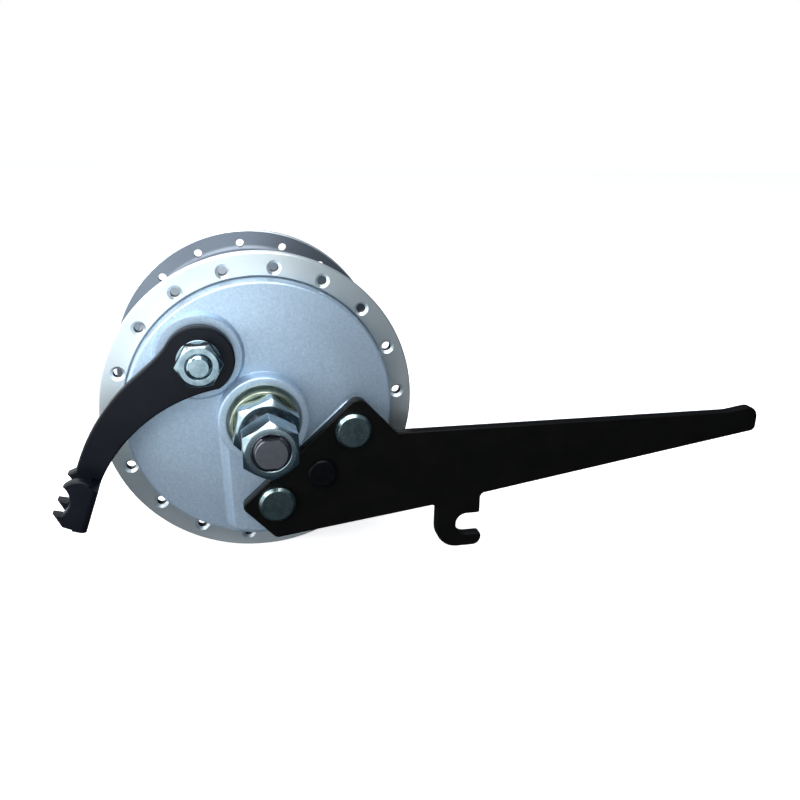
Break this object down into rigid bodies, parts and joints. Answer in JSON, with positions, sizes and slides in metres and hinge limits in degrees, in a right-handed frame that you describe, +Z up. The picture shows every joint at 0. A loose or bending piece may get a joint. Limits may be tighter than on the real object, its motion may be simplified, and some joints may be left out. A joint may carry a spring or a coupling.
{
  "type": "drum brake front hub",
  "caption": "Bicycle front hub with a drum brake: flanged shell on an axle, domed brake plate, curved cable lever on its cam and a long reaction arm with a cable hook.",
  "frame": {"origin": "centre of the circle of spoke holes on the outer face of the brake-side flange, on the axle's axis", "axes": "+Y along the axle from the brake side to the far side, +X along the reaction arm, +Z up"},
  "size_m": [0.273, 0.15, 0.1151],
  "materials": {
    "shell_alloy": "cast, turned bright on the flanges",
    "silver_paint": "fine metallic silver paint on a casting",
    "black_paint": "satin black paint on steel sheet",
    "bright_zinc": "bright zinc plate",
    "blue_zinc": "blue zinc plate",
    "yellow_zinc": "yellow zinc plate",
    "axle_steel": "rolled thread, dark bare steel",
    "black_steel": "blackened steel",
    "bearing_steel": "ground and polished",
    "drum_iron": "finely turned",
    "shoe_alloy": "die cast",
    "lining": "moulded friction lining, ground",
    "bronze": "sintered bronze",
    "soft_brass": "drawn brass",
    "spring_steel": "oiled spring wire"
  },
  "bodies": {
    "axle_and_plate": {"bearing_cone_brake_side": "bearing_steel", "bearing_cone_far_side": "bearing_steel", "axle": "axle_steel", "axle_nut_brake_side": "blue_zinc", "lock_nut_brake_side": "blue_zinc", "axle_nut_far_side": "blue_zinc", "lock_nut_far_side": "blue_zinc", "cup_washer_brake_side": "yellow_zinc", "washer_far_side": "bright_zinc", "brake_plate": "silver_paint", "cam_bush": "bronze", "anchor_pin": "black_steel", "reaction_arm": "black_paint", "arm_rivets": "bright_zinc", "return_spring_cam_end": "spring_steel", "return_spring_anchor_end": "spring_steel"},
    "shell": {"hub_shell": "shell_alloy", "drum_liner": "drum_iron", "bearing_cup_brake_side": "bearing_steel", "bearing_cup_far_side": "bearing_steel", "bearing_balls_brake_side": "bearing_steel", "bearing_balls_far_side": "bearing_steel", "dust_cap_brake_side": "black_steel", "dust_cap_far_side": "black_steel"},
    "cam_lever": {"cam_spindle": "bright_zinc", "brake_lever": "black_paint", "cam_washer": "bright_zinc", "cam_nut": "bright_zinc"},
    "upper_shoe": {"brake_shoe_upper": "shoe_alloy", "brake_lining_upper": "lining", "lining_rivets_upper": "soft_brass"},
    "lower_shoe": {"brake_shoe_lower": "shoe_alloy", "brake_lining_lower": "lining", "lining_rivets_lower": "soft_brass"}
  },
  "joints": [
    {"name": "shell_spin", "type": "hinge", "parent": "axle_and_plate", "child": "shell", "pos_m": [0, 0, 0], "axis": [0, 1, 0], "continuous": true},
    {"name": "lever_pivot", "type": "hinge", "parent": "axle_and_plate", "child": "cam_lever", "pos_m": [-0.02155, 0, 0.0227], "axis": [0, -1, 0], "range_deg": [0, 15], "stiffness_Nm_per_rad": 1, "springref_deg": -17.19, "deforming": ["return_spring_cam_end", "return_spring_anchor_end"]},
    {"name": "lower_shoe_pivot", "type": "hinge", "parent": "axle_and_plate", "child": "lower_shoe", "pos_m": [0.02065, 0, -0.02176], "axis": [0, -1, 0], "range_deg": [0, 1.1]},
    {"name": "upper_shoe_pivot", "type": "hinge", "parent": "axle_and_plate", "child": "upper_shoe", "pos_m": [0.02065, 0, -0.02176], "axis": [0, -1, 0], "range_deg": [-1.1, 0]}
  ],
  "couplings": [
    {"joint": "lower_shoe_pivot", "follows": "lever_pivot", "ratio": 0.072},
    {"joint": "upper_shoe_pivot", "follows": "lever_pivot", "ratio": -0.072}
  ]
}
